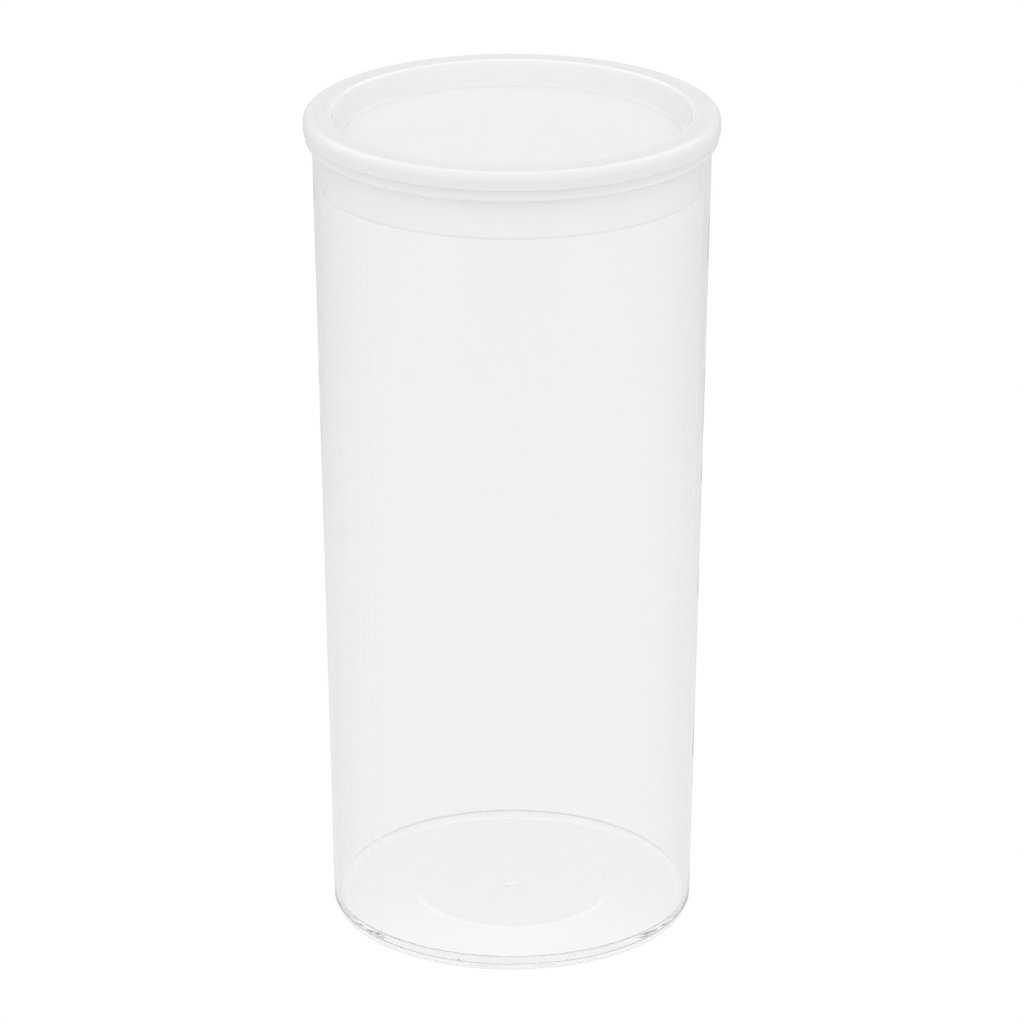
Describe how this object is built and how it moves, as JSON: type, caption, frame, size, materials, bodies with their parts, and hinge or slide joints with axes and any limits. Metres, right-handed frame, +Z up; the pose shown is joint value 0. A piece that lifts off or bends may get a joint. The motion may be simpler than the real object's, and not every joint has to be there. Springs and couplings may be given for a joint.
{
  "type": "tennis ball can",
  "caption": "Clear tapered plastic can with a bonded base and a milky plug lid that lifts off, for storing tennis balls.",
  "frame": {"origin": "centre of the face the can stands on", "axes": "+Z up along the can's axis, -Y towards the front, the wall's lap seam to the left of the front"},
  "size_m": [0.0804, 0.0804, 0.1657],
  "materials": {
    "clear_wall": "clear rigid sheet, glossy on both faces",
    "clear_base": "clear injection moulding, glossy",
    "milky_lid": "natural polyethylene, milky and waxy"
  },
  "bodies": {
    "can": {"tube_wall": "clear_wall", "base": "clear_base"},
    "lid": {"lid": "milky_lid"}
  },
  "joints": [
    {"name": "lid_lift", "type": "slide", "parent": "can", "child": "lid", "axis": [0, 0, 1], "range_m": [0, 0.1]}
  ]
}
